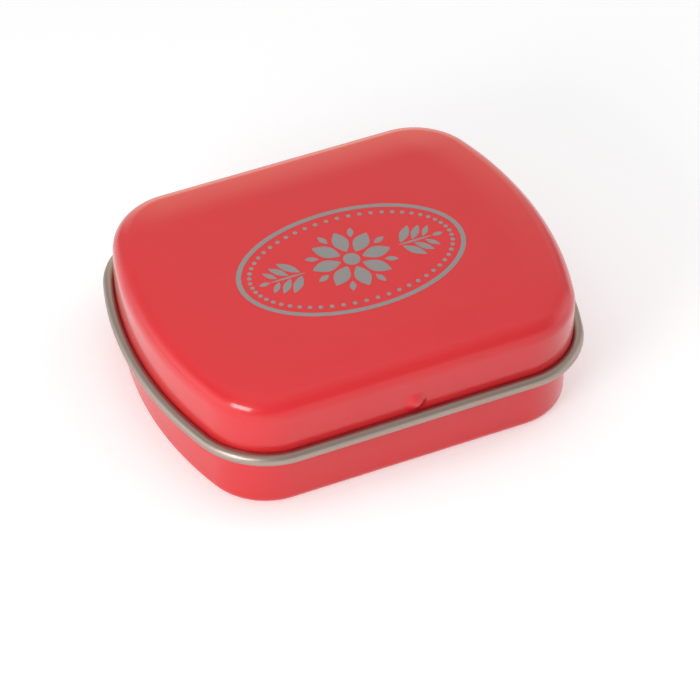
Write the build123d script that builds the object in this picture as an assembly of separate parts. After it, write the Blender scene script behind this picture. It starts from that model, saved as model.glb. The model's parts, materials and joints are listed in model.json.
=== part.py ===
from build123d import *
import math
import os

# A small hinged tin for mints, drawn and rolled from painted tinplate: a base that stands on a
# ring round a raised panel, a lid whose lower edge is rolled outwards into a bead, and mints
# lying inside. Two tongues punched from the base's rear wall curl round the lid's rear bead,
# which is the hinge pin. Millimetres, Z up. The origin is the middle of the footprint, on the
# surface that the tin stands on. X runs along the hinge, -Y is the front, +Y is the hinge side.
#
# Every wall follows one plan outline, moved in or out: two straight long sides, four corner
# arcs and two gently bowed ends. A place in a wall's section is (out, up): out is measured
# square to the outside face of the base wall, and up is the height.

# Overall sizes, the lid's bead and the hinge included
overall_length = 50.0
overall_depth = 40.0
overall_height = 15.45
sheet = 0.23

# Plan outline of the outside of the base wall
corner_radius = 7.4
end_radius = 40.2
plate_corner = 1.5

# Lid
lid_gap = 0.45
bead_radius = 0.71
bead_height = 7.94
shoulder_radius = 2.37
crown_slope = 8.0
catch_diameter = 2.6
catch_bulge = 0.55
catch_height_share = 0.3

# Base
foot_radius = 1.0
foot_width = 1.1
panel_rise = 0.3
neck_above_bead = 0.06
hem_height = 1.0
hem_bevel = 0.1
rim_gap = 0.1
swing_gap = 0.1
pip_gap = 0.25
pip_width_share = 2.8

# Hinge
tongue_width = 6.0
tongue_straight = 0.4
tongue_bend_radius = 0.53
tongue_lap = 280.0
pin_gap = 0.1
side_gap = 0.3
tongue_to_corner = 1.4
notch_height = 1.6

# Mints
mint_diameter = 6.0
mint_thickness = 2.8
mint_bevel = 0.45
mint_gap = 0.7
rest_gap = 0.05
mint_count = 18
upper_count = 4
heap_middle_x = -3.2
heap_middle_y = 1.5
hollow_reach_share = 0.6
nudge_share = 0.45
nudge_turn = 137.5

# Cutting tools run past the metal by this much
overrun = 0.5

# Outline sizes that follow from the ones above
bead_out = lid_gap + bead_radius
bead_reach = lid_gap + 2 * bead_radius
wall_half_length = overall_length / 2 - bead_reach
wall_half_depth = overall_depth / 2 - bead_reach
corner_y = wall_half_depth - corner_radius
end_centre_x = wall_half_length - end_radius
corner_from_end = math.sqrt((end_radius - corner_radius) ** 2 - corner_y**2)
corner_x = end_centre_x + corner_from_end
end_angle = math.degrees(math.atan2(corner_y, corner_from_end))
plate_reach = corner_radius - plate_corner

# Heights that follow from the ones above
shoulder_out = lid_gap + sheet - shoulder_radius
crown_radius = shoulder_radius + (plate_reach + shoulder_out) / math.sin(math.radians(crown_slope))
crown_centre = overall_height - crown_radius
shoulder_centre = crown_centre + (crown_radius - shoulder_radius) * math.cos(math.radians(crown_slope))
bead_top = bead_height + bead_radius
catch_height = bead_top + catch_height_share * (shoulder_centre - bead_top)
floor_top = panel_rise + sheet

# The neck is set in so far that the lid's front edge, swinging about the hinge, clears the rim
hinge_y = wall_half_depth + bead_out
swing_radius = hinge_y + wall_half_depth + lid_gap
swing_height = overall_height - sheet - bead_height
swing_back = swing_radius - math.sqrt(swing_radius**2 - swing_height**2)
hem_out = lid_gap - swing_back - swing_gap
neck_out = hem_out - 2 * sheet
neck_inset = -sheet - neck_out
neck_start = bead_height + neck_above_bead
pip_bulge = neck_inset + lid_gap - pip_gap
rim_reach = shoulder_radius - sheet - rim_gap
rim_top = shoulder_centre + math.sqrt(rim_reach**2 - (hem_out - shoulder_out) ** 2)

# Hinge places that follow from the ones above
tongue_x = corner_x - tongue_to_corner - tongue_width / 2
loop_radius = bead_radius + pin_gap
bend_to_pin = bead_out + sheet - tongue_bend_radius
bend_drop = math.sqrt((loop_radius + tongue_bend_radius) ** 2 - bend_to_pin**2)
bend_turn = 180 - math.degrees(math.atan2(bend_drop, bend_to_pin))
tongue_root = bead_height - bend_drop - tongue_straight


def bent_path(start, heading, bends, shift):
    """One face of a bent sheet: straight runs, each ended by a turn, arc or sharp (radius 0).

    Turns to the left are positive. Shift moves the whole path to its left, which gives the
    sheet's other face.
    """
    edges = []
    spot = Vector(*start)
    last = spot + Vector(0, 1).rotate(Axis.Z, heading) * shift
    for run, radius, turn in bends:
        ahead = Vector(1, 0).rotate(Axis.Z, heading)
        left = Vector(0, 1).rotate(Axis.Z, heading)
        left_after = left.rotate(Axis.Z, turn)
        spot += ahead * run
        if radius:
            side = math.copysign(1, turn)
            corner = spot + left * shift
            if run:
                edges.append(Line(last, corner))
            edges.append(JernArc(corner, ahead, radius - side * shift, turn))
            spot += (left - left_after) * side * radius
            last = spot + left_after * shift
        else:
            corner = spot + (left + left_after) * (shift / (1 + left.dot(left_after)))
            edges.append(Line(last, corner))
            last = corner
        heading += turn
    return edges


def sheet_section(start, heading, bends, side):
    """Closed section of a bent sheet. Side is 1 for a sheet to the left of the path, -1 right."""
    near = bent_path(start, heading, bends, 0)
    far = bent_path(start, heading, bends, side * sheet)
    ends = [Line(near[0] @ 0, far[0] @ 0), Line(near[-1] @ 1, far[-1] @ 1)]
    return make_face(Curve() + near + far + ends)


def outline(out):
    """Plan line round the tin, moved out (or in, when negative) from the base wall."""
    right_end = CenterArc((end_centre_x, 0), end_radius + out, -end_angle, 2 * end_angle)
    rear_right = CenterArc((corner_x, corner_y), corner_radius + out, end_angle, 90 - end_angle)
    half = Curve() + [right_end, rear_right, mirror(rear_right, Plane.XZ)]
    rear = Line((corner_x, wall_half_depth + out), (-corner_x, wall_half_depth + out))
    return (half + mirror(half, Plane.YZ) + rear + mirror(rear, Plane.XZ)).wire()


def plate(out, bottom):
    """Flat plate of sheet inside the outline, its underside at the height bottom."""
    return Pos(0, 0, bottom) * extrude(make_face(outline(out)), sheet)


def at_rear(section):
    """Stand a section (out, up) on the rear wall, square to the outline."""
    return Pos(0, wall_half_depth, 0) * (Plane.YZ * section)


def drawn(section, inner_plate):
    """Carry a wall section once round the outline and close its middle with a plate."""
    return sweep(at_rear(section), outline(0)) + inner_plate


def rear_blocks(low, high, near, far):
    """Cutters for both hinge places, wider than the tongues, from near out to far."""
    align = (Align.CENTER, Align.MIN, Align.MIN)
    block = Box(tongue_width + 2 * side_gap, far - near, high - low, align=align)
    return [Pos(side * tongue_x, wall_half_depth + near, low) * block for side in (-1, 1)]


def front_dome(diameter, bulge, out):
    """Dome pressed outwards in the front wall whose outside face is at out, and its dimple."""
    radius = ((diameter / 2) ** 2 + bulge**2) / (2 * bulge)
    centre_y = radius - bulge - out - wall_half_depth
    ball = Pos(0, centre_y, catch_height) * Sphere(radius)
    align = (Align.CENTER, Align.MAX, Align.CENTER)
    front = Box(diameter + overrun, bulge + sheet, diameter + overrun, align=align)
    dome = ball & Pos(0, sheet / 2 - out - wall_half_depth, catch_height) * front
    return dome, Pos(0, sheet, 0) * ball


def hem():
    """Section of the rim's free edge, folded flat against the outside of the neck."""
    fold = Pos(hem_out, rim_top) * Rectangle(2 * sheet, hem_height, align=(Align.MAX, Align.MAX))
    return chamfer(fold.vertices().group_by(Axis.Y)[-1], hem_bevel)


def tongue():
    """Right hinge tongue: up the wall, out under the bead and round it."""
    bends = [(tongue_straight, tongue_bend_radius, -bend_turn), (0, loop_radius, tongue_lap)]
    section = sheet_section((-sheet, tongue_root), 90, bends, -1)
    return Pos(tongue_x, 0, 0) * extrude(at_rear(section), tongue_width / 2, both=True)


def window_top():
    """Top of the window left by a tongue: as tall as the unbent tongue, but clear of the hem."""
    bend = math.radians(bend_turn) * (tongue_bend_radius - sheet / 2)
    loop = math.radians(tongue_lap) * (loop_radius + sheet / 2)
    return min(tongue_root + tongue_straight + bend + loop + side_gap, rim_top - hem_height)


def base():
    """Drawn pan: raised panel, foot, wall, inset neck, hemmed rim, catch pip and hinge tongues."""
    step = math.sqrt(2)
    panel_run = plate_reach - foot_radius - foot_width - panel_rise
    bends = [
        (panel_run, 0, -45),
        (panel_rise * step, 0, 45),
        (foot_width, foot_radius - sheet, 90),
        (neck_start - foot_radius, 0, 45),
        (neck_inset * step, 0, -45),
        (rim_top - neck_start - neck_inset, 0, 0),
    ]
    wall = sheet_section((-plate_reach, floor_top), 0, bends, -1)
    pan = drawn(wall + hem(), plate(-plate_reach, panel_rise))
    dome, dimple = front_dome(pip_width_share * pip_bulge, pip_bulge, -neck_inset)
    windows = rear_blocks(tongue_root, window_top(), neck_out - overrun, overrun)
    return pan - windows + dome - dimple + [tongue(), mirror(tongue(), Plane.YZ)]


def lid():
    """Drawn cap: flat crown, sloping edge, round shoulder, skirt, rolled bead and hinge notches."""
    bends = [
        (0, crown_radius - sheet, -crown_slope),
        (0, shoulder_radius - sheet, crown_slope - 90),
        (shoulder_centre - bead_height, 0, 0),
    ]
    wall = sheet_section((-plate_reach, overall_height - sheet), 0, bends, 1)
    bead = Pos(bead_out, bead_height) * Circle(bead_radius)
    cap = drawn(wall + bead, plate(-plate_reach, overall_height - sheet))
    dome, dimple = front_dome(catch_diameter, catch_bulge, lid_gap + sheet)
    pin = Pos(0, hinge_y, bead_height) * Cylinder(bead_radius, overall_length, rotation=(0, 90, 0))
    notches = rear_blocks(bead_height, bead_height + notch_height, hem_out, bead_out)
    return cap + dome - dimple - [notch - pin for notch in notches]


def mint():
    """Round tablet: a straight band between two bevelled faces, standing on its lower face."""
    body = Cylinder(mint_diameter / 2, mint_thickness, align=(Align.CENTER, Align.CENTER, Align.MIN))
    return chamfer(body.edges().filter_by(GeomType.CIRCLE), mint_bevel)


def half_length_at(y, out):
    """Half length of the outline moved to out, at the distance y from its long middle line."""
    arc_y = abs(y) - corner_y
    if arc_y <= (corner_radius + out) * math.sin(math.radians(end_angle)):
        return end_centre_x + math.sqrt((end_radius + out) ** 2 - y**2)
    return corner_x + math.sqrt((corner_radius + out) ** 2 - arc_y**2)


def mint_places():
    """Loose heap: a staggered layer on the floor, nearest the heap's middle first, and some on top.

    Each mint is nudged off its grid place, every one in another direction.
    """
    pitch = mint_diameter + mint_gap
    row_pitch = pitch * math.sqrt(3) / 2
    inset = neck_out - mint_diameter / 2 - mint_gap
    rows = int((wall_half_depth + inset) / row_pitch)
    spots = []
    for row in range(-rows, rows + 1):
        y = row * row_pitch
        reach = half_length_at(y, inset)
        columns = math.ceil(reach / pitch)
        steps = [step + row % 2 / 2 for step in range(-columns, columns + 1)]
        spots += [Vector(step * pitch, y) for step in steps if abs(step * pitch) <= reach]
    middle = Vector(heap_middle_x, heap_middle_y)
    floor = sorted(spots, key=lambda spot: (spot - middle).length)[: mint_count - upper_count]
    hollows = [spot + Vector(0, pitch / math.sqrt(3)) for spot in floor]
    close = hollow_reach_share * pitch
    upper = [spot for spot in hollows if sum((spot - under).length < close for under in floor) == 3]
    places = []
    for number, spot in enumerate(floor + upper[:upper_count]):
        nudge = Vector(nudge_share * mint_gap, 0).rotate(Axis.Z, number * nudge_turn)
        layer = number // len(floor)
        up = floor_top + rest_gap + layer * (mint_thickness + rest_gap)
        places.append(spot + nudge + Vector(0, 0, up))
    return places


def main():
    os.makedirs("parts", exist_ok=True)
    pieces = {"base": base(), "lid": lid()}
    tablet = mint()
    for number, place in enumerate(mint_places(), 1):
        pieces[f"mint_{number:02d}"] = Pos(place) * tablet
    for name, piece in pieces.items():
        export_step(piece, f"parts/{name}.step")


main()
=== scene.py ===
import json
import math

import bmesh
import bpy
from mathutils import Matrix, Vector


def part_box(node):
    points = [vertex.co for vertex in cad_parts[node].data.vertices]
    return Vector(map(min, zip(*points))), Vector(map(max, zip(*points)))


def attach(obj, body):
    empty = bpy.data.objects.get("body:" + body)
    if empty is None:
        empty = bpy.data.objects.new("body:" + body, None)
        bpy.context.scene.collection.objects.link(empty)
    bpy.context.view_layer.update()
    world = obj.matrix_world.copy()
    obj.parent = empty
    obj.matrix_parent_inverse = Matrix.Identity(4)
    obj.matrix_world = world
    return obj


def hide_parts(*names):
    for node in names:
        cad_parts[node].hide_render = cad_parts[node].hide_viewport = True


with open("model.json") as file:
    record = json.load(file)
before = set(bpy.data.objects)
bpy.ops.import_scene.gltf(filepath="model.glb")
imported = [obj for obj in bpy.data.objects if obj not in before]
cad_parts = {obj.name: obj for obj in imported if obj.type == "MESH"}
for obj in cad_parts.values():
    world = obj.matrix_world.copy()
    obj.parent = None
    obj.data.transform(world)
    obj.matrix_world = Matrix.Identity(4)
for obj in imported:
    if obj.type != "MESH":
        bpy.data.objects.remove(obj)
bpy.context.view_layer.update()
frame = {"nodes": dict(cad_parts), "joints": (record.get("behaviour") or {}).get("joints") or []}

# Sizes in metres, as the tin is made. Overall sizes, the hinge and the mints' places are read
# from the frame.
MM = 0.001
SHEET = 0.23 * MM

# Plan outline of the base wall
CORNER_RADIUS = 7.4 * MM
END_RADIUS = 40.2 * MM
PLATE_REACH = 5.9 * MM

# Lid
LID_GAP = 0.45 * MM
BEAD_RADIUS = 0.71 * MM
BEAD_SEAM = 0.05 * MM
SHOULDER_RADIUS = 2.37 * MM
CROWN_SLOPE = math.radians(8)
CATCH_RADIUS = 1.35 * MM
CATCH_BULGE = 0.55 * MM
CATCH_SHARE = 0.3

# Base
FOOT_RADIUS = 1.0 * MM
FOOT_WIDTH = 1.1 * MM
PANEL_RISE = 0.3 * MM
NECK_ABOVE_BEAD = 0.06 * MM
NECK_INSET = 0.586 * MM
SLOPE = math.radians(45)
PANEL_BENDS = (0.45 * MM, 0.22 * MM)
NECK_BENDS = (0.3 * MM, 0.53 * MM)
RIM_FOLD = 0.25 * MM
HEM_HEIGHT = 1.0 * MM
PIP_RADIUS = 1.1 * MM
PIP_BULGE = 0.786 * MM

# Hinge
TONGUE_WIDTH = 6.0 * MM
TONGUE_STRAIGHT = 0.4 * MM
TONGUE_BEND = 0.53 * MM
TONGUE_LAP = math.radians(280)
PIN_GAP = 0.1 * MM
SIDE_GAP = 0.3 * MM
TONGUE_TO_CORNER = 1.4 * MM
NOTCH_HEIGHT = 1.6 * MM
WINDOW_TOP = 12.674 * MM

# Mints
MINT_DOME = 0.5 * MM
MINT_EDGE = 0.18 * MM
MINT_DOME_STEPS = 10
MINT_SIDES = 48
MINT_TILT = math.radians(2.5)
TILT_TURN = math.radians(137.5)

# Print on the lid. Its shapes are laid out in millimetres from its middle, each as half its
# length and half its width.
PRINT_MIDDLE = Vector((0.6 * MM, -1.0 * MM))
PRINT_THICKNESS = 0.012 * MM
OVAL = (13.2, 8.2)
OVAL_LINE = 0.55
OVAL_SIDES = 128
DOTS = 56
DOT_OVAL = (11.75, 6.75)
DOT_RADIUS = 0.26
DOT_SIDES = 12
EYE_RADIUS = 0.95
PETALS = 8
PETAL = (1.65, 0.9)
PETAL_REACH = 2.95
PETAL_SIDES = 32
BUD = (0.75, 0.36)
BUD_REACH = 4.35
STEM = (2.1, 0.15)
STEM_REACH = 7.6
STEM_POINT = 0.5
TIP_LEAF = (0.62, 0.3)
TIP_REACH = 10.3
LEAF_SIDES = 24
LEAF_POINT = 0.6
LEAF_TURN = math.radians(50)
LEAF_GAP = 0.4
LEAF_WIDTH = 0.36
# Root and half length of each pair of leaves
LEAF_PAIRS = ((5.75, 1.45), (7.15, 1.2), (8.45, 0.9))

# Mesh work
MERGE = 0.004 * MM
STEEP = math.radians(35)
ARC_STEP = math.radians(6)
CORNER_STEPS = 26
END_STEPS = 12
DOME_CUTS = 12
DOME_FULLNESS = 0.8

# Material slots of a bent sheet
BARE, PAINT, CUT = 0, 1, 2

# Range of the noise that a finish's roughness follows
NOISE_LOW = 0.3
NOISE_HIGH = 0.7

# Studio
ROOM_LIGHT = 0.4
TABLE_HALF = 3
TABLE_DROP = 0.02 * MM
TABLE_WHITE = 0.88
TABLE_LIFT = 0.32
TABLE_GLOW = 0.5
BOARD_SIZE = 80.83 * MM
BOARD_PLACE = (-70 * MM, 6 * MM, 0.3 * MM)

# Places that follow from the frame and the sizes above
lid_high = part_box("lid")[1]
hinge = Vector(frame["joints"][0]["pos_m"])
top_height = lid_high[2]
rim_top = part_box("base")[1][2]
bead_height = hinge.z
bead_out = LID_GAP + BEAD_RADIUS
wall_half_length = lid_high[0] - LID_GAP - 2 * BEAD_RADIUS
wall_half_depth = hinge.y - bead_out
corner_y = wall_half_depth - CORNER_RADIUS
end_centre_x = wall_half_length - END_RADIUS
corner_from_end = math.sqrt((END_RADIUS - CORNER_RADIUS) ** 2 - corner_y**2)
corner_x = end_centre_x + corner_from_end
end_angle = math.atan2(corner_y, corner_from_end)
floor_top = PANEL_RISE + SHEET
shoulder_out = LID_GAP + SHEET - SHOULDER_RADIUS
crown_radius = SHOULDER_RADIUS + (PLATE_REACH + shoulder_out) / math.sin(CROWN_SLOPE)
shoulder_height = top_height - crown_radius + (crown_radius - SHOULDER_RADIUS) * math.cos(CROWN_SLOPE)
bead_top = bead_height + BEAD_RADIUS
catch_height = bead_top + CATCH_SHARE * (shoulder_height - bead_top)
notch_top = bead_height + NOTCH_HEIGHT
tongue_x = corner_x - TONGUE_TO_CORNER - TONGUE_WIDTH / 2
loop_radius = BEAD_RADIUS + PIN_GAP
bend_to_pin = bead_out + SHEET - TONGUE_BEND
bend_drop = math.sqrt((loop_radius + TONGUE_BEND) ** 2 - bend_to_pin**2)
bend_turn = math.pi - math.atan2(bend_drop, bend_to_pin)
tongue_root = bead_height - bend_drop - TONGUE_STRAIGHT
hinge_half = TONGUE_WIDTH / 2 + SIDE_GAP
columns = [
    CATCH_RADIUS,
    tongue_x - hinge_half,
    tongue_x - TONGUE_WIDTH / 2,
    tongue_x + TONGUE_WIDTH / 2,
    tongue_x + hinge_half,
    corner_x,
]


# Sheet metal tools

def trace(bm, start, heading, bends, shift):
    """Draws one face of a bent sheet as a chain of edges, standing on the rear wall at x = 0.

    Each bend is a straight run and then a turn of some radius, left turns positive. Shift moves
    the chain to its left. Places are (out, up), out from the base wall. Gives the chain and its
    last vertex.
    """
    ahead = Vector((0, math.cos(heading), math.sin(heading)))
    left = Vector((0, -ahead.z, ahead.y))
    spot = Vector((0, wall_half_depth + start[0], start[1]))
    tip = bm.verts.new(spot + left * shift)
    edges = []
    for run, radius, turn in bends:
        if run:
            grown = bmesh.ops.extrude_vert_indiv(bm, verts=[tip])
            tip = grown["verts"][0]
            tip.co += ahead * run
            spot += ahead * run
            edges += grown["edges"]
        if turn:
            middle = spot + left * math.copysign(radius, turn)
            steps = math.ceil(abs(turn) / ARC_STEP)
            before = set(bm.edges)
            spun = bmesh.ops.spin(bm, geom=[tip], cent=middle, axis=(1, 0, 0), angle=turn, steps=steps)
            tip = next(part for part in spun["geom_last"] if isinstance(part, bmesh.types.BMVert))
            edges += [edge for edge in bm.edges if edge not in before]
            heading += turn
            ahead = Vector((0, math.cos(heading), math.sin(heading)))
            left = Vector((0, -ahead.z, ahead.y))
            spot = middle - left * math.copysign(radius, turn)
    return edges, tip


def step_aside(offset, side, radii):
    """Two opposite bends that carry a sheet aside by offset, and the length that they take up."""
    straight = (offset - sum(radii) * (1 - math.cos(SLOPE))) / math.sin(SLOPE)
    length = sum(radii) * math.sin(SLOPE) + straight * math.cos(SLOPE)
    return length, (radii[0], side * SLOPE), (straight, radii[1], -side * SLOPE)


def carry(bm, edges, material):
    """Carries a chain from the middle of the rear wall round a quarter of the plan outline."""
    before = set(bm.faces)
    here = 0
    for column in columns:
        grown = bmesh.ops.extrude_edge_only(bm, edges=edges)["geom"]
        verts = [part for part in grown if isinstance(part, bmesh.types.BMVert)]
        edges = [part for part in grown if isinstance(part, bmesh.types.BMEdge)]
        bmesh.ops.translate(bm, verts=verts, vec=(column - here, 0, 0))
        here = column
    corner = ((corner_x, corner_y, 0), end_angle - math.pi / 2, CORNER_STEPS)
    end = ((end_centre_x, 0, 0), -end_angle, END_STEPS)
    for centre, angle, steps in (corner, end):
        geom = edges + list({vert for edge in edges for vert in edge.verts})
        spun = bmesh.ops.spin(bm, geom=geom, cent=centre, axis=(0, 0, 1), angle=angle, steps=steps)
        edges = [part for part in spun["geom_last"] if isinstance(part, bmesh.types.BMEdge)]
    paint_new(bm, before, material)


def paint_new(bm, before, material):
    """Gives one material to the faces made since before was taken."""
    for face in bm.faces:
        if face not in before:
            face.material_index = material


def drawn_sheet(start, bends, side):
    """A sheet bent round the whole tin: bare inside, painted outside, with a cut edge."""
    bm = bmesh.new()
    near, near_tip = trace(bm, start, 0, bends, 0)
    far, far_tip = trace(bm, start, 0, bends, side * SHEET)
    tip = bm.edges.new((near_tip, far_tip))
    carry(bm, near, BARE)
    carry(bm, far, PAINT)
    carry(bm, [tip], CUT)
    for axis in "XY":
        geom = bm.verts[:] + bm.edges[:] + bm.faces[:]
        bmesh.ops.mirror(bm, geom=geom, matrix=Matrix(), merge_dist=MERGE, axis=axis)
    bmesh.ops.remove_doubles(bm, verts=bm.verts[:], dist=MERGE)
    for height, material in ((start[1], BARE), (start[1] + side * SHEET, PAINT)):
        close_rim(bm, lambda spot: abs(spot.z - height) < MERGE, material)
    return bm


def open_edges(bm, chosen):
    """Open edges whose two ends are at chosen places."""
    rim = [edge for edge in bm.edges if edge.is_boundary]
    return [edge for edge in rim if all(chosen(vert.co) for vert in edge.verts)]


def close_rim(bm, chosen, material):
    """Closes the open edges at the chosen places with one flat face."""
    before = set(bm.faces)
    bmesh.ops.edgeloop_fill(bm, edges=open_edges(bm, chosen))
    paint_new(bm, before, material)


def cut_through(bm, side, low, high, out):
    """Cuts a hinge opening through both faces of the rear wall and closes its cut edge."""
    def inside(spot, slack=MERGE):
        across = abs(side * spot.x - tongue_x) < hinge_half + slack
        upright = low - slack < spot.z < high + slack
        return across and upright and corner_y < spot.y < wall_half_depth + out

    doomed = [face for face in bm.faces if inside(face.calc_center_median(), 0)]
    bmesh.ops.delete(bm, geom=doomed, context="FACES")
    before = set(bm.faces)
    bmesh.ops.bridge_loops(bm, edges=open_edges(bm, inside))
    paint_new(bm, before, CUT)


def press_dome(bm, radius, bulge, near, far):
    """Presses a round dome outwards in the part of the front wall between near and far."""
    def on_wall(spot):
        return near < -spot.y - wall_half_depth < far

    patch = []
    for face in bm.faces:
        middle = face.calc_center_median()
        if on_wall(middle) and abs(middle.x) < radius and abs(middle.z - catch_height) < radius:
            patch.append(face)
    edges = list({edge for face in patch for edge in face.edges})
    bmesh.ops.subdivide_edges(bm, edges=edges, cuts=DOME_CUTS, use_grid_fill=True)
    for vert in bm.verts:
        reach = math.hypot(vert.co.x, vert.co.z - catch_height) / radius
        if on_wall(vert.co) and reach < 1:
            vert.co.y -= bulge * (0.5 + 0.5 * math.cos(math.pi * reach)) ** DOME_FULLNESS


def make_piece(name, bm, materials):
    """Makes a smooth piece of a finished bmesh, with its faces pointing out and its folds crisp."""
    bmesh.ops.recalc_face_normals(bm, faces=bm.faces[:])
    for face in bm.faces:
        face.smooth = True
    for edge in bm.edges:
        if len(edge.link_faces) == 2 and edge.calc_face_angle(0) > STEEP:
            edge.smooth = False
    mesh = bpy.data.meshes.new(name)
    bm.to_mesh(mesh)
    bm.free()
    for material in materials:
        mesh.materials.append(material)
    piece = bpy.data.objects.new(name, mesh)
    bpy.context.scene.collection.objects.link(piece)
    modifier = piece.modifiers.new("even_normals", "WEIGHTED_NORMAL")
    modifier.keep_sharp = True
    return piece


# The tin

def lid_shell():
    """Drawn cap whose lower edge is rolled outwards into the bead, bare side out."""
    curl = math.pi + math.acos((SHEET + BEAD_SEAM - BEAD_RADIUS) / BEAD_RADIUS)
    catch_top = catch_height + CATCH_RADIUS
    catch_foot = catch_height - CATCH_RADIUS
    heights = [shoulder_height, catch_top, notch_top, catch_foot, bead_height]
    runs = [upper - lower for upper, lower in zip(heights, heights[1:])]
    bends = [
        (0, crown_radius - SHEET, -CROWN_SLOPE),
        (0, SHOULDER_RADIUS - SHEET, CROWN_SLOPE - math.pi / 2),
        (runs[0], 0, 0),
        (runs[1], 0, 0),
        (runs[2], 0, 0),
        (runs[3], BEAD_RADIUS, curl),
    ]
    bm = drawn_sheet((-PLATE_REACH, top_height - SHEET), bends, 1)
    skirt_out = LID_GAP + SHEET + MERGE
    for side in (-1, 1):
        cut_through(bm, side, bead_height, notch_top, skirt_out)
    press_dome(bm, CATCH_RADIUS, CATCH_BULGE, LID_GAP - MERGE, skirt_out)
    return make_piece("lid_shell", bm, SHEET_MATERIALS)


def base_shell():
    """Drawn pan with a raised panel, foot, inset neck, folded rim, catch pip and hinge tongues."""
    panel_length, panel_first, panel_second = step_aside(PANEL_RISE, -1, PANEL_BENDS)
    neck_length, neck_first, neck_second = step_aside(NECK_INSET, 1, NECK_BENDS)
    foot_inner = FOOT_RADIUS + FOOT_WIDTH + PANEL_RISE / 2
    neck_low = bead_height + NECK_ABOVE_BEAD + (NECK_INSET - neck_length) / 2
    neck_high = neck_low + neck_length
    pip_top = catch_height + PIP_RADIUS
    bends = [
        (PLATE_REACH - foot_inner - panel_length / 2, *panel_first),
        panel_second,
        (foot_inner - panel_length / 2 - FOOT_RADIUS, FOOT_RADIUS - SHEET, math.pi / 2),
        (tongue_root - FOOT_RADIUS, 0, 0),
        (neck_low - tongue_root, *neck_first),
        neck_second,
        (pip_top - neck_high, 0, 0),
        (WINDOW_TOP - pip_top, 0, 0),
        (rim_top - RIM_FOLD - WINDOW_TOP, RIM_FOLD, -math.pi),
        (HEM_HEIGHT - RIM_FOLD, 0, 0),
    ]
    bm = drawn_sheet((-PLATE_REACH, floor_top), bends, -1)
    for side in (-1, 1):
        cut_through(bm, side, tongue_root, WINDOW_TOP, MERGE)
        hinge_tongue(bm, side)
    bmesh.ops.remove_doubles(bm, verts=bm.verts[:], dist=MERGE)
    press_dome(bm, PIP_RADIUS, PIP_BULGE, -NECK_INSET - SHEET - MERGE, MERGE - NECK_INSET)
    return make_piece("base_shell", bm, SHEET_MATERIALS)


def hinge_tongue(bm, side):
    """Tongue that leaves the wall at the foot of its window and curls round the lid's bead."""
    def at_root(face):
        middle = face.calc_center_median()
        across = abs(side * middle.x - tongue_x) < TONGUE_WIDTH / 2
        return across and abs(middle.z - tongue_root) < MERGE and face.material_index == CUT

    bmesh.ops.delete(bm, geom=[face for face in bm.faces if at_root(face)], context="FACES_ONLY")
    bends = [(TONGUE_STRAIGHT, TONGUE_BEND, -bend_turn), (0, loop_radius, TONGUE_LAP)]
    start = (-SHEET, tongue_root)
    near = trace(bm, start, math.pi / 2, bends, 0)[0]
    far = trace(bm, start, math.pi / 2, bends, -SHEET)[0]
    verts = list({vert for edge in near + far for vert in edge.verts})
    bmesh.ops.translate(bm, verts=verts, vec=(side * tongue_x - TONGUE_WIDTH / 2, 0, 0))
    before = set(bm.faces)
    bmesh.ops.bridge_loops(bm, edges=near + far)
    paint_new(bm, before, CUT)
    across = []
    for chain, material in ((near, BARE), (far, PAINT)):
        before = set(bm.faces)
        grown = bmesh.ops.extrude_edge_only(bm, edges=chain)["geom"]
        moved = [part for part in grown if isinstance(part, bmesh.types.BMVert)]
        bmesh.ops.translate(bm, verts=moved, vec=(TONGUE_WIDTH, 0, 0))
        across += [part for part in grown if isinstance(part, bmesh.types.BMEdge)]
        paint_new(bm, before, material)
    before = set(bm.faces)
    bmesh.ops.bridge_loops(bm, edges=across)
    paint_new(bm, before, CUT)

    def on_tongue(spot):
        return spot.y > wall_half_depth and abs(spot.x - side * tongue_x) < hinge_half

    close_rim(bm, on_tongue, CUT)


# Contents

def tablet(name, low, high, number):
    """Pressed mint: two low domes on a straight band, lying a little askew."""
    radius = (high[0] - low[0]) / 2
    thickness = high[2] - low[2]
    dome_radius = (radius**2 + MINT_DOME**2) / (2 * MINT_DOME)
    dome_angle = math.asin((radius - MINT_EDGE) / dome_radius)
    bm = bmesh.new()
    pole = bm.verts.new((0, 0, thickness / 2))
    middle = (0, 0, thickness / 2 - dome_radius)
    steps = MINT_DOME_STEPS
    spun = bmesh.ops.spin(bm, geom=[pole], cent=middle, axis=(0, 1, 0), angle=dome_angle, steps=steps)
    rim = next(part for part in spun["geom_last"] if isinstance(part, bmesh.types.BMVert))
    rest = thickness / 2 - MINT_DOME - MINT_EDGE
    knee = bmesh.ops.extrude_vert_indiv(bm, verts=[rim])["verts"][0]
    knee.co = (radius, 0, rest)
    waist = bmesh.ops.extrude_vert_indiv(bm, verts=[knee])["verts"][0]
    waist.co = (radius, 0, 0)
    bmesh.ops.mirror(bm, geom=bm.verts[:] + bm.edges[:], matrix=Matrix(), merge_dist=MERGE, axis="Z")
    geom = bm.verts[:] + bm.edges[:]
    turn = 2 * math.pi
    bmesh.ops.spin(
        bm, geom=geom, cent=(0, 0, 0), axis=(0, 0, 1), angle=turn, steps=MINT_SIDES, use_merge=True
    )
    bmesh.ops.remove_doubles(bm, verts=bm.verts[:], dist=MERGE)
    side = number * TILT_TURN
    lean = Matrix.Rotation(MINT_TILT, 4, (math.cos(side), math.sin(side), 0))
    place = Matrix.Translation((Vector(low) + Vector(high)) / 2)
    bmesh.ops.transform(bm, matrix=place @ lean, verts=bm.verts[:])
    return make_piece(name, bm, [SUGAR])


# Print

def placed(x, y, half_length, half_width, turn=0):
    """Places a unit shape in the print."""
    move = Matrix.Translation((x, y, 0))
    return move @ Matrix.Rotation(turn, 4, "Z") @ Matrix.Diagonal((half_length, half_width, 1, 1))


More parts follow.
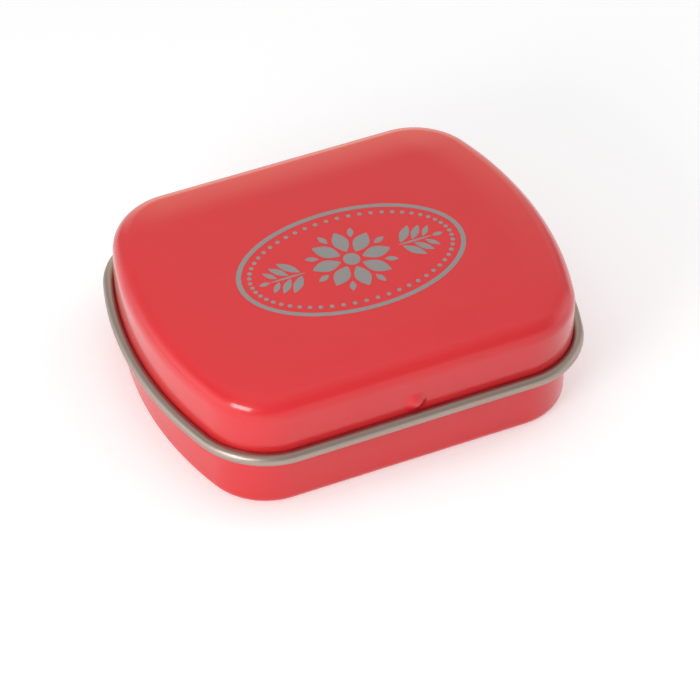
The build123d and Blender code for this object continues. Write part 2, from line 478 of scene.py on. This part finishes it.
def flat_disc(bm, x, y, radius, sides):
    made = bmesh.ops.create_circle(bm, cap_ends=True, segments=sides, radius=1)["verts"]
    bmesh.ops.transform(bm, matrix=placed(x, y, radius, radius), verts=made)


def leaf(bm, x, y, half_sizes, turn=0, sides=LEAF_SIDES, point=LEAF_POINT):
    """Flat leaf or petal: an oval that is drawn to a point at both ends by the share point."""
    made = bmesh.ops.create_circle(bm, cap_ends=True, segments=sides, radius=1)["verts"]
    for vert in made:
        vert.co.y *= 1 - point * vert.co.x**2
    bmesh.ops.transform(bm, matrix=placed(x, y, *half_sizes, turn), verts=made)


def oval_ring(bm):
    """Oval line of even width."""
    rims = []
    for grow in (0, -OVAL_LINE):
        circle = bmesh.ops.create_circle(bm, cap_ends=False, segments=OVAL_SIDES, radius=1)["verts"]
        half_length, half_width = (half + grow for half in OVAL)
        bmesh.ops.transform(bm, matrix=placed(0, 0, half_length, half_width), verts=circle)
        rims += list({edge for vert in circle for edge in vert.link_edges})
    bmesh.ops.bridge_loops(bm, edges=rims)


def dotted_ring(bm):
    for dot in range(DOTS):
        turn = 2 * math.pi * dot / DOTS
        x, y = DOT_OVAL[0] * math.cos(turn), DOT_OVAL[1] * math.sin(turn)
        flat_disc(bm, x, y, DOT_RADIUS, DOT_SIDES)


def rosette(bm):
    """Round eye with petals, and buds between their tips."""
    flat_disc(bm, 0, 0, EYE_RADIUS, LEAF_SIDES)
    for petal in range(PETALS):
        turn = 2 * math.pi * petal / PETALS
        x, y = PETAL_REACH * math.cos(turn), PETAL_REACH * math.sin(turn)
        leaf(bm, x, y, PETAL, turn, PETAL_SIDES)
        turn += math.pi / PETALS
        leaf(bm, BUD_REACH * math.cos(turn), BUD_REACH * math.sin(turn), BUD, turn)


def sprig(bm, side):
    """Stem with a leaf at its tip and pairs of leaves, pointing away from the rosette."""
    leaf(bm, side * STEM_REACH, 0, STEM, point=STEM_POINT)
    leaf(bm, side * TIP_REACH, 0, TIP_LEAF)
    for root, half_length in LEAF_PAIRS:
        for up in (-1, 1):
            reach = half_length + LEAF_GAP
            x = side * (root + reach * math.cos(LEAF_TURN))
            y = up * reach * math.sin(LEAF_TURN)
            leaf(bm, x, y, (half_length, half_length * LEAF_WIDTH), side * up * LEAF_TURN)


def lid_print():
    """Ornament in one flat ink: a rosette between two leafy sprigs, in a dotted oval."""
    bm = bmesh.new()
    oval_ring(bm)
    dotted_ring(bm)
    rosette(bm)
    for side in (-1, 1):
        sprig(bm, side)
    grown = bmesh.ops.extrude_face_region(bm, geom=bm.faces[:])["geom"]
    top = [part for part in grown if isinstance(part, bmesh.types.BMVert)]
    bmesh.ops.translate(bm, verts=top, vec=(0, 0, PRINT_THICKNESS / MM))
    place = Matrix.Translation((*PRINT_MIDDLE, top_height)) @ Matrix.Scale(MM, 4)
    bmesh.ops.transform(bm, matrix=place, verts=bm.verts[:])
    return make_piece("lid_print", bm, [INK])


# Materials

def group(name, inputs, outputs):
    """New shader node group with named inputs and outputs."""
    tree = bpy.data.node_groups.new(name, "ShaderNodeTree")
    for label, kind, value in inputs:
        socket = tree.interface.new_socket(name=label, in_out="INPUT", socket_type="NodeSocket" + kind)
        socket.default_value = value
    for label, kind in outputs:
        tree.interface.new_socket(name=label, in_out="OUTPUT", socket_type="NodeSocket" + kind)
    return tree, tree.nodes.new("NodeGroupInput").outputs, tree.nodes.new("NodeGroupOutput").inputs


def grain_group():
    """Noise stretched along chosen directions, from 0 to 1."""
    inputs = [
        ("Vector", "Vector", (0, 0, 0)),
        ("Stretch", "Vector", (1, 1, 1)),
        ("Scale", "Float", 100.0),
        ("Detail", "Float", 3.0),
    ]
    tree, given, out = group("grain", inputs, [("Value", "Float")])
    stretch = tree.nodes.new("ShaderNodeVectorMath")
    stretch.operation = "MULTIPLY"
    noise = tree.nodes.new("ShaderNodeTexNoise")
    tree.links.new(given["Vector"], stretch.inputs[0])
    tree.links.new(given["Stretch"], stretch.inputs[1])
    tree.links.new(stretch.outputs[0], noise.inputs["Vector"])
    tree.links.new(given["Scale"], noise.inputs["Scale"])
    tree.links.new(given["Detail"], noise.inputs["Detail"])
    tree.links.new(noise.outputs["Fac"], out["Value"])
    return tree


def tone_group():
    """Two tones of a finish, mixed by broad soft noise."""
    inputs = [
        ("Vector", "Vector", (0, 0, 0)),
        ("Scale", "Float", 60.0),
        ("Light Tone", "Color", (1, 1, 1, 1)),
        ("Dark Tone", "Color", (0, 0, 0, 1)),
    ]
    tree, given, out = group("tone", inputs, [("Color", "Color")])
    noise = tree.nodes.new("ShaderNodeTexNoise")
    noise.inputs["Detail"].default_value = 2
    blend = tree.nodes.new("ShaderNodeMix")
    blend.data_type = "RGBA"
    tree.links.new(given["Vector"], noise.inputs["Vector"])
    tree.links.new(given["Scale"], noise.inputs["Scale"])
    tree.links.new(noise.outputs["Fac"], blend.inputs[0])
    tree.links.new(given["Dark Tone"], blend.inputs[6])
    tree.links.new(given["Light Tone"], blend.inputs[7])
    tree.links.new(blend.outputs[2], out["Color"])
    return tree


GRAIN = grain_group()
TONE = tone_group()


class Finish:
    """A material with its Principled shader, object coordinates and shared effects."""

    def __init__(self, name):
        self.material = bpy.data.materials.new(name)
        self.material.use_nodes = True
        self.nodes = self.material.node_tree.nodes
        self.links = self.material.node_tree.links
        self.shader = self.nodes["Principled BSDF"]
        self.place = self.nodes.new("ShaderNodeTexCoord").outputs["Object"]
        self.relief = None

    def set(self, **values):
        """Sets plain values on the shader, each named after its socket."""
        for name, value in values.items():
            self.shader.inputs[name.replace("_", " ")].default_value = value

    def effect(self, tree, **values):
        """Places a shared effect with its own values and gives what it puts out."""
        node = self.nodes.new("ShaderNodeGroup")
        node.node_tree = tree
        self.links.new(self.place, node.inputs["Vector"])
        for name, value in values.items():
            node.inputs[name.replace("_", " ")].default_value = value
        return node.outputs[0]

    def colour(self, light, dark, scale):
        """Colours the finish in two close tones."""
        tone = self.effect(TONE, Scale=scale, Light_Tone=(*light, 1), Dark_Tone=(*dark, 1))
        self.links.new(tone, self.shader.inputs["Base Color"])

    def roughness(self, low, high, scale, stretch=(1, 1, 1), detail=3):
        """Lets the roughness vary between low and high."""
        spread = self.nodes.new("ShaderNodeMapRange")
        spread.inputs["From Min"].default_value = NOISE_LOW
        spread.inputs["From Max"].default_value = NOISE_HIGH
        spread.inputs["To Min"].default_value = low
        spread.inputs["To Max"].default_value = high
        grain = self.effect(GRAIN, Scale=scale, Stretch=stretch, Detail=detail)
        self.links.new(grain, spread.inputs["Value"])
        self.links.new(spread.outputs["Result"], self.shader.inputs["Roughness"])

    def bump(self, scale, height, stretch=(1, 1, 1), detail=2):
        """Adds bumps of some height in metres over the layers before."""
        layer = self.nodes.new("ShaderNodeBump")
        layer.inputs["Distance"].default_value = height
        grain = self.effect(GRAIN, Scale=scale, Stretch=stretch, Detail=detail)
        self.links.new(grain, layer.inputs["Height"])
        if self.relief:
            self.links.new(self.relief, layer.inputs["Normal"])
        self.relief = layer.outputs["Normal"]
        self.links.new(self.relief, self.shader.inputs["Normal"])


def red_enamel():
    """Stoved red enamel with a faint orange peel under a smooth gloss."""
    finish = Finish("red_enamel")
    finish.colour(light=(0.78, 0.017, 0.025), dark=(0.73, 0.015, 0.022), scale=90)
    finish.roughness(low=0.29, high=0.35, scale=250, detail=1)
    finish.bump(scale=420, height=0.0025 * MM, detail=0)
    finish.set(Specular_IOR_Level=0.3, Coat_Weight=0.7, Coat_Roughness=0.07)
    return finish.material


def bare_tinplate():
    """Warm grey tinplate, brushed by the rolling and the drawing."""
    finish = Finish("bare_tinplate")
    finish.colour(light=(0.44, 0.36, 0.31), dark=(0.39, 0.315, 0.27), scale=160)
    finish.roughness(low=0.34, high=0.46, scale=700, stretch=(0.15, 0.15, 3))
    finish.bump(scale=700, height=0.004 * MM, stretch=(0.1, 0.1, 3))
    finish.bump(scale=1500, height=0.003 * MM, stretch=(0.08, 1, 1))
    finish.set(Metallic=1)
    return finish.material


def cut_steel():
    """Dull sheared edge of the sheet."""
    finish = Finish("cut_steel")
    finish.colour(light=(0.44, 0.42, 0.40), dark=(0.34, 0.32, 0.30), scale=900)
    finish.roughness(low=0.45, high=0.6, scale=2500)
    finish.bump(scale=4000, height=0.006 * MM, stretch=(1, 1, 0.3))
    finish.set(Metallic=1)
    return finish.material


def pressed_sugar():
    """Matt white tablet with a fine powdery face."""
    finish = Finish("pressed_sugar")
    finish.colour(light=(0.93, 0.93, 0.92), dark=(0.89, 0.89, 0.885), scale=260)
    finish.roughness(low=0.5, high=0.7, scale=1200)
    finish.bump(scale=700, height=0.05 * MM)
    finish.bump(scale=3500, height=0.02 * MM)
    finish.set(Subsurface_Weight=0.2, Subsurface_Scale=0.4 * MM)
    return finish.material


def print_ink():
    """Grey ink, flatter than the enamel that it lies on."""
    finish = Finish("print_ink")
    finish.colour(light=(0.30, 0.28, 0.275), dark=(0.27, 0.252, 0.248), scale=500)
    finish.roughness(low=0.3, high=0.42, scale=900)
    finish.bump(scale=1400, height=0.003 * MM, detail=1)
    finish.set(Coat_Weight=0.3, Coat_Roughness=0.15)
    return finish.material


SHEET_MATERIALS = [bare_tinplate(), red_enamel(), cut_steel()]
SUGAR = pressed_sugar()
INK = print_ink()


# Stage

def camera():
    """Stands where the photograph was taken from."""
    azimuth, elevation, roll = math.radians(-25.452), math.radians(43.009), math.radians(1.078)
    distance = 0.4233
    target = Vector((-0.001904, -0.006279, 0.007407))
    flat = math.cos(elevation)
    back = Vector((math.sin(azimuth) * flat, -math.cos(azimuth) * flat, math.sin(elevation)))
    right = (-back).cross(Vector((0, 0, 1))).normalized()
    up = right.cross(-back)
    across = right * math.cos(roll) + up * math.sin(roll)
    upright = up * math.cos(roll) - right * math.sin(roll)
    data = bpy.data.cameras.new("camera")
    data.sensor_width = 36
    data.lens = 200.33
    data.clip_start = 0.01
    data.clip_end = 10
    eye = bpy.data.objects.new("camera", data)
    turn = Matrix((across, upright, back)).transposed().to_4x4()
    eye.matrix_world = Matrix.Translation(target + back * distance) @ turn
    bpy.context.scene.collection.objects.link(eye)
    bpy.context.scene.camera = eye


def fade_out(data, share):
    """Lets a lamp fade towards its edges, over a share of the way from the edge to its middle."""
    data.use_nodes = True
    nodes = data.node_tree.nodes
    links = data.node_tree.links
    split = nodes.new("ShaderNodeSeparateXYZ")
    links.new(nodes.new("ShaderNodeNewGeometry").outputs["Parametric"], split.inputs[0])
    both = nodes.new("ShaderNodeMath")
    both.operation = "MULTIPLY"
    for number in (0, 1):
        off_middle = nodes.new("ShaderNodeMath")
        off_middle.operation = "SUBTRACT"
        off_middle.inputs[1].default_value = 0.5
        away = nodes.new("ShaderNodeMath")
        away.operation = "ABSOLUTE"
        fade = nodes.new("ShaderNodeMapRange")
        fade.interpolation_type = "SMOOTHSTEP"
        fade.inputs["From Min"].default_value = 0.5
        fade.inputs["From Max"].default_value = 0.5 - share / 2
        links.new(split.outputs[number], off_middle.inputs[0])
        links.new(off_middle.outputs[0], away.inputs[0])
        links.new(away.outputs[0], fade.inputs["Value"])
        links.new(fade.outputs["Result"], both.inputs[number])
    links.new(both.outputs[0], nodes["Emission"].inputs["Strength"])


def area_lamp(name, size, radiance, fade=1, tint=(1, 1, 1)):
    """Flat lamp that shows in a mirror as bright as radiance says."""
    data = bpy.data.lights.new(name, "AREA")
    data.shape = "RECTANGLE"
    data.size, data.size_y = size
    data.color = tint
    data.energy = radiance * math.pi * data.size * data.size_y
    fade_out(data, fade)
    lamp = bpy.data.objects.new(name, data)
    lamp.visible_camera = False
    bpy.context.scene.collection.objects.link(lamp)
    return lamp


def soft_box(name, bearing, rise, distance, spread, radiance, **more):
    """Lamp that faces the tin.

    Bearing turns from the hinge side towards the right end, rise is the angle above the table.
    Spread is the width and height that the tin sees, in degrees.
    """
    size = [2 * distance * math.tan(math.radians(angle / 2)) for angle in spread]
    lamp = area_lamp(name, size, radiance, **more)
    turn, lift = math.radians(bearing), math.radians(rise)
    flat = math.cos(lift)
    aim = Vector((math.sin(turn) * flat, math.cos(turn) * flat, math.sin(lift))) * distance
    lamp.matrix_world = Matrix.Translation(aim) @ aim.to_track_quat("Z", "Y").to_matrix().to_4x4()
    return lamp


def unseen_lamp(name, **values):
    """Lamp that lights the tin and doesn't show in its gloss."""
    soft_box(name, **values).visible_glossy = False


def card(name, **values):
    """White card that shows in the gloss and lights nothing."""
    soft_box(name, **values).visible_diffuse = False


def left_board():
    """White board that lies face up beside the left end and shows in the bead."""
    board = area_lamp("left_board", (BOARD_SIZE, BOARD_SIZE), radiance=0.35)
    board.matrix_world = Matrix.Translation(BOARD_PLACE) @ Matrix.Rotation(math.pi, 4, "X")
    board.visible_diffuse = False


def floor():
    """Plain white table that keeps the tin's shadow and shows white in its gloss.

    The lift is for the camera, gloss and glass. Scattered light also gets the share TABLE_GLOW of it.
    """
    bm = bmesh.new()
    bmesh.ops.create_grid(bm, x_segments=1, y_segments=1, size=TABLE_HALF)
    bmesh.ops.translate(bm, verts=bm.verts[:], vec=(0, 0, -TABLE_DROP))
    mesh = bpy.data.meshes.new("floor")
    bm.to_mesh(mesh)
    bm.free()
    table = bpy.data.objects.new("floor", mesh)
    bpy.context.scene.collection.objects.link(table)
    material = bpy.data.materials.new("white_table")
    material.use_nodes = True
    nodes = material.node_tree.nodes
    links = material.node_tree.links
    shader = nodes["Principled BSDF"]
    shader.inputs["Base Color"].default_value = (TABLE_WHITE, TABLE_WHITE, TABLE_WHITE, 1)
    shader.inputs["Roughness"].default_value = 0.9
    shader.inputs["Specular IOR Level"].default_value = 0
    seen = nodes.new("ShaderNodeLightPath").outputs
    lift = None
    for ray in ("Is Camera Ray", "Is Glossy Ray", "Is Transmission Ray"):
        either = nodes.new("ShaderNodeMath")
        either.operation = "MAXIMUM"
        either.inputs[1].default_value = TABLE_GLOW
        links.new(seen[ray], either.inputs[0])
        if lift:
            links.new(lift, either.inputs[1])
        lift = either.outputs[0]
    scale = nodes.new("ShaderNodeMath")
    scale.operation = "MULTIPLY"
    scale.inputs[1].default_value = TABLE_LIFT
    links.new(lift, scale.inputs[0])
    glow = nodes.new("ShaderNodeEmission")
    links.new(scale.outputs[0], glow.inputs["Strength"])
    both = nodes.new("ShaderNodeAddShader")
    links.new(shader.outputs[0], both.inputs[0])
    links.new(glow.outputs[0], both.inputs[1])
    links.new(both.outputs[0], nodes["Material Output"].inputs["Surface"])
    mesh.materials.append(material)


def studio():
    """Soft lamps from the left front and above, and pale cards that the gloss shows."""
    world = bpy.data.worlds.new("studio")
    bpy.context.scene.world = world
    world.use_nodes = True
    background = world.node_tree.nodes["Background"]
    background.inputs["Color"].default_value = (1, 1, 1, 1)
    background.inputs["Strength"].default_value = ROOM_LIGHT
    soft_box("key_lamp", bearing=-122, rise=27, distance=0.2, spread=(28, 19), radiance=11, fade=0.4)
    soft_box("overhead_lamp", bearing=0, rise=90, distance=0.5, spread=(100, 100), radiance=0.33)
    soft_box("rear_lamp", bearing=25, rise=52, distance=0.5, spread=(140, 80), radiance=0.16, fade=0.6)
    unseen_lamp("near_lamp", bearing=-125, rise=68, distance=0.11, spread=(50, 50), radiance=1.1)
    unseen_lamp("right_lamp", bearing=95, rise=45, distance=0.5, spread=(60, 60), radiance=1.4)
    card("left_card", bearing=-82, rise=0, distance=0.5, spread=(120, 76), radiance=1.5)
    warm = (1, 0.93, 0.65)
    card("rear_card", bearing=20, rise=12, distance=0.7, spread=(76, 64), radiance=1.8, tint=warm)
    card("right_card", bearing=100, rise=5, distance=0.8, spread=(70, 80), radiance=1.1)
    card("front_card", bearing=165, rise=0, distance=1, spread=(120, 48), radiance=0.8)
    left_board()


camera()
studio()
floor()
bpy.context.scene.view_settings.view_transform = "Standard"

lid = lid_shell()
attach(lid, "lid")
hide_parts("lid")

base = base_shell()
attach(base, "base")
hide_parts("base")

ornament = lid_print()
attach(ornament, "lid")

for number, node in enumerate(sorted(name for name in frame["nodes"] if name.startswith("mint_"))):
    sweet = tablet(node.replace("mint", "tablet"), *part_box(node), number)
    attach(sweet, "base")
    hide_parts(node)
